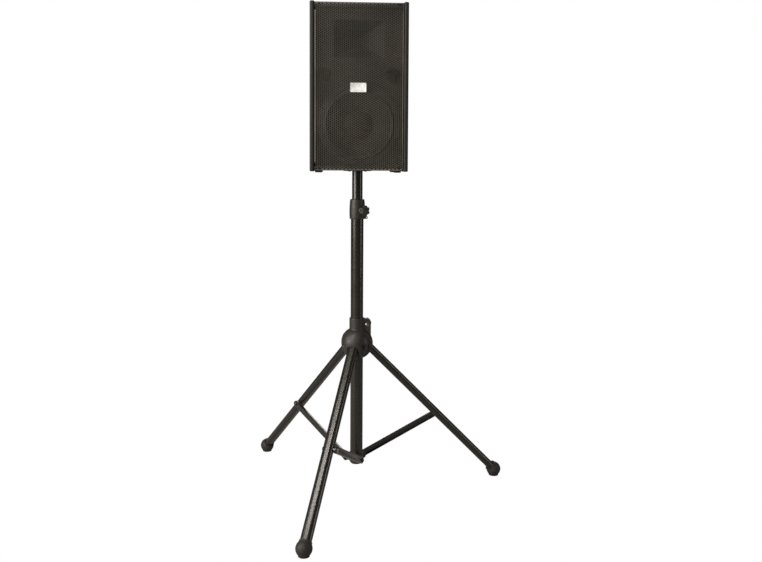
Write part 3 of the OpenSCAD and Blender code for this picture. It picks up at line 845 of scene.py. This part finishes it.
@dataclass
class ScrewSet:
    """One size of pan-head screw with a cross recess, at every place it is used."""

    node: str
    name: str
    facing: Facing
    head_h: float = 2.2 * MM
    cross: float = 0.55
    steps: int = 28

    def build(self) -> bpy.types.Object:
        """Models a screw at each place and fits the set."""
        pieces = []
        for low, high in islands(self.node):
            size = high - low
            lengthwise = 1 if self.facing in (Facing.FRONT, Facing.REAR) else 2
            across = [size[i] for i in range(3) if i != lengthwise]
            radius, length = min(across) / 2, size[lengthwise]
            screw = self.screw(radius, length)
            screw.rotation_euler = (*self.facing.value, 0)
            top = (low + high) / 2
            ends_low = self.facing in (Facing.FRONT, Facing.DOWN)
            top[lengthwise] = low[lengthwise] if ends_low else high[lengthwise]
            screw.location = top
            settled(screw)
            pieces.append(screw)
        return SHOP.fit(joined(pieces, self.name), self.node)

    def screw(self, radius: float, length: float) -> bpy.types.Object:
        """One screw, head up, the top of its head at the origin."""
        head = min(self.head_h, length * 0.5)
        shank = radius * 0.5
        profile = [(0.0, 0.0), (radius * 0.45, -head * 0.04), (radius * 0.75, -head * 0.18),
                   (radius * 0.93, -head * 0.42), (radius, -head * 0.75), (radius, -head),
                   (shank, -head), (shank, -length), (0.0, -length)]
        screw = turned(f"{self.name}_one", profile, self.steps)
        cutter = self.recess(radius * self.cross, head * 0.75)
        only(screw)
        modifier = screw.modifiers.new("recess", "BOOLEAN")
        modifier.operation = "DIFFERENCE"
        modifier.solver = "FAST"
        modifier.object = cutter
        bpy.ops.object.modifier_apply(modifier=modifier.name)
        bpy.data.objects.remove(cutter)
        smooth(screw, 35)
        return screw

    def recess(self, reach: float, deep: float) -> bpy.types.Object:
        """The cross-shaped point of a driver, at the origin."""
        none_selected()
        wide = reach * 0.5
        bpy.ops.mesh.primitive_cube_add(size=1)
        cutter = bpy.context.object
        cutter.scale = (wide, wide, 2 * deep)
        settled(cutter)
        with editing(cutter, "FACE"):
            pick_faces(cutter, lambda f: abs(f.normal.z) < 0.5)
            bpy.ops.mesh.extrude_faces_move(
                TRANSFORM_OT_shrink_fatten={"value": -(reach - wide / 2)})
            bpy.ops.mesh.select_all(action="SELECT")
            bpy.ops.mesh.normals_make_consistent(inside=False)
            pick_faces(cutter, lambda f: f.normal.z < -0.5)
            bpy.ops.transform.resize(value=(0.55, 0.55, 1))
        return cutter


@dataclass
class Studio:
    """The plain pale floor, the soft lights and the camera."""

    lens: float = 38.39
    shift: float = -0.085
    azimuth: float = -1.838
    distance: float = 2.695
    height: float = 1.10
    pitch: float = -3.717
    yaw: float = 1.679
    roll: float = 0.327
    glow: float = 0.08
    floor_size: float = 40
    light_colour: Colour = (1.0, 0.95, 0.875)
    room_colour: Colour = (1.0, 0.96, 0.90)

    def build(self) -> None:
        """Lays the floor, hangs the lights and sets the camera."""
        self.floor()
        self.world()
        self.softbox("key_box", 140.0, (-2.9, -1.75, 1.8), (2.2, 2.1), (0, 0, 1.2))
        self.softbox("high_box", 34.0, (-1.35, -1.4, 3.4), (0.42, 0.9), (-0.1, -0.3, 0.3))
        self.softbox("fill_strip", 14.0, (3.2, -0.9, 1.3), (0.4, 2.2), (0, 0, 0.8))
        self.softbox("front_wash", 14.0, (-1.2, -4.0, 2.4), (1.6, 1.6), (0, 0, 0.9))
        self.softbox("back_bank", 60.0, (0.8, 3.6, 2.9), (2.4, 1.4), (0, 0, 0.9))
        self.camera()

    def floor(self) -> None:
        """A white floor that runs into the background, staged: it isn't the object."""
        none_selected()
        bpy.ops.mesh.primitive_plane_add(size=self.floor_size)
        obj = named(bpy.context.object, "studio_floor")
        sketch = Sketch("pale_floor")
        sketch.steady(Roughness=0.9, Specular_IOR_Level=0.1)
        mottle = sketch.blend(sketch.span(sketch.grain(0.8, 3), 0.3, 0.7),
                              (0.42, 0.42, 0.42), (0.45, 0.45, 0.45))
        obj.data.materials.append(sketch.surface(mottle))
        tree = sketch.material.node_tree
        out = next(n for n in tree.nodes if n.type == "OUTPUT_MATERIAL")
        self.white_to_camera(tree, sketch.shader.outputs[0], out.inputs[0])

    def white_to_camera(self, tree: bpy.types.NodeTree, lit: bpy.types.NodeSocket,
                        out: bpy.types.NodeSocket) -> None:
        """Shows plain white in the picture and leaves a shader to light the object.

        Args:
            tree: The node tree.
            lit: The shader that the object's light bounces off.
            out: The tree's output socket.
        """
        seen = tree.nodes.new("ShaderNodeEmission")
        seen.inputs["Color"].default_value = (1, 1, 1, 1)
        seen.inputs["Strength"].default_value = 1.0
        path = tree.nodes.new("ShaderNodeLightPath")
        mix = tree.nodes.new("ShaderNodeMixShader")
        tree.links.new(path.outputs["Is Camera Ray"], mix.inputs[0])
        tree.links.new(lit, mix.inputs[1])
        tree.links.new(seen.outputs[0], mix.inputs[2])
        tree.links.new(mix.outputs[0], out)

    def world(self) -> None:
        """White surroundings, dimmer as a light than as a background."""
        world = bpy.data.worlds.new("white_room")
        bpy.context.scene.world = world
        world.use_nodes = True
        tree = world.node_tree
        tree.nodes.clear()
        lit = tree.nodes.new("ShaderNodeBackground")
        lit.inputs["Color"].default_value = (*self.room_colour, 1)
        lit.inputs["Strength"].default_value = self.glow
        out = tree.nodes.new("ShaderNodeOutputWorld")
        self.white_to_camera(tree, lit.outputs[0], out.inputs[0])

    def softbox(self, name: str, watts: float, place: Point, size: tuple[float, float],
                target: Point) -> None:
        """One rectangular softbox aimed at a point.

        Args:
            name: The light's name.
            watts: Its power.
            place: Where it hangs.
            size: Its width and height.
            target: The point that it faces.
        """
        light = bpy.data.lights.new(name, "AREA")
        light.shape = "RECTANGLE"
        light.size, light.size_y = size
        light.energy = watts
        light.color = self.light_colour
        obj = bpy.data.objects.new(name, light)
        bpy.context.scene.collection.objects.link(obj)
        obj.location = place
        obj.rotation_mode = "QUATERNION"
        obj.rotation_quaternion = (Vector(target) - Vector(place)).to_track_quat("-Z", "Y")

    def camera(self) -> None:
        """The camera, just above the cabinet's underside and a little left of the front."""
        data = bpy.data.cameras.new("camera")
        data.lens = self.lens
        data.sensor_width = 36.0
        data.shift_y = self.shift
        obj = bpy.data.objects.new("camera", data)
        bpy.context.scene.collection.objects.link(obj)
        side = math.radians(self.azimuth)
        obj.location = (self.distance * math.sin(side), -self.distance * math.cos(side),
                        self.height)
        ahead = side - math.radians(self.yaw)
        rise = math.radians(self.pitch)
        look = Vector((-math.sin(ahead) * math.cos(rise), math.cos(ahead) * math.cos(rise),
                       math.sin(rise)))
        aim = look.to_track_quat("-Z", "Y").to_euler()
        aim.rotate_axis("Z", math.radians(self.roll))
        obj.rotation_euler = aim
        data.clip_start, data.clip_end = 0.05, 100
        bpy.context.scene.camera = obj


MOULDINGS = [
    SoftMoulding("leg_hub", "hub_moulding", 1.2 * MM, 7),
    SoftMoulding("mast_collar", "collar_moulding", 0.8 * MM, 7),
    SoftMoulding("collar_clamp_knob", "collar_knob", 0.8 * MM, 7),
    SoftMoulding("hub_clamp_knob", "hub_knob", 0.8 * MM, 6),
    *(SoftMoulding(f"leg_foot_{leg}", f"foot_{leg}", 0.9 * MM, 7) for leg in LEGS),
    SoftMoulding("lower_bracket", "bracket_moulding", 0.8 * MM, 4),
    SoftMoulding("carry_handle", "carry_handle_moulding", 0.9 * MM, 4),
    SoftMoulding("connector_plate", "connector_dish", 0.9 * MM, 4),
    SoftMoulding("horn_flare", "horn_moulding", 1.2 * MM, 5),
    SoftMoulding("cabinet_feet", "cabinet_foot_pads", 0.6 * MM, 4),
]

EASED = [
    EasedPart("side_panel_left", "cheek_left", 3.5 * MM, 5),
    EasedPart("side_panel_right", "cheek_right", 3.5 * MM, 5),
    EasedPart("top_panel", "top_board", 1.0 * MM, 2),
    EasedPart("bottom_panel", "bottom_board", 1.0 * MM, 2),
    EasedPart("rear_panel", "rear_board", 1.0 * MM, 2),
    *(EasedPart(f"brace_{leg}", f"brace_{leg}_channel", 0.5 * MM, 2) for leg in LEGS),
    EasedPart("speaker_sockets", "speaker_socket_pair", 0.3 * MM, 2),
    EasedPart("mast_end_cap", "mast_foot_cap", 0.6 * MM, 2),
]

SCREWS = [
    ScrewSet("connector_screws", "connector_screw_heads", Facing.REAR),
    ScrewSet("handle_screws", "handle_screw_heads", Facing.UP),
    ScrewSet("woofer_screws", "woofer_screw_heads", Facing.FRONT),
    ScrewSet("horn_screws", "horn_screw_heads", Facing.FRONT),
    ScrewSet("pole_socket_screws", "pole_socket_screw_heads", Facing.DOWN),
]


def main() -> None:
    """Builds the finishes, the pieces and the studio in order."""
    logging.basicConfig(level=logging.INFO, format="%(name)s: %(message)s")
    scene = bpy.context.scene
    scene.view_settings.view_transform = "Standard"
    LOG.info("%d nodes dressed", SHOP.dress_nodes())
    PerforatedGrille().build()
    NameBadge().build()
    for part in [*MOULDINGS, *EASED, *SCREWS]:
        part.build()
    Studio().build()


if __name__ == "__main__":
    main()
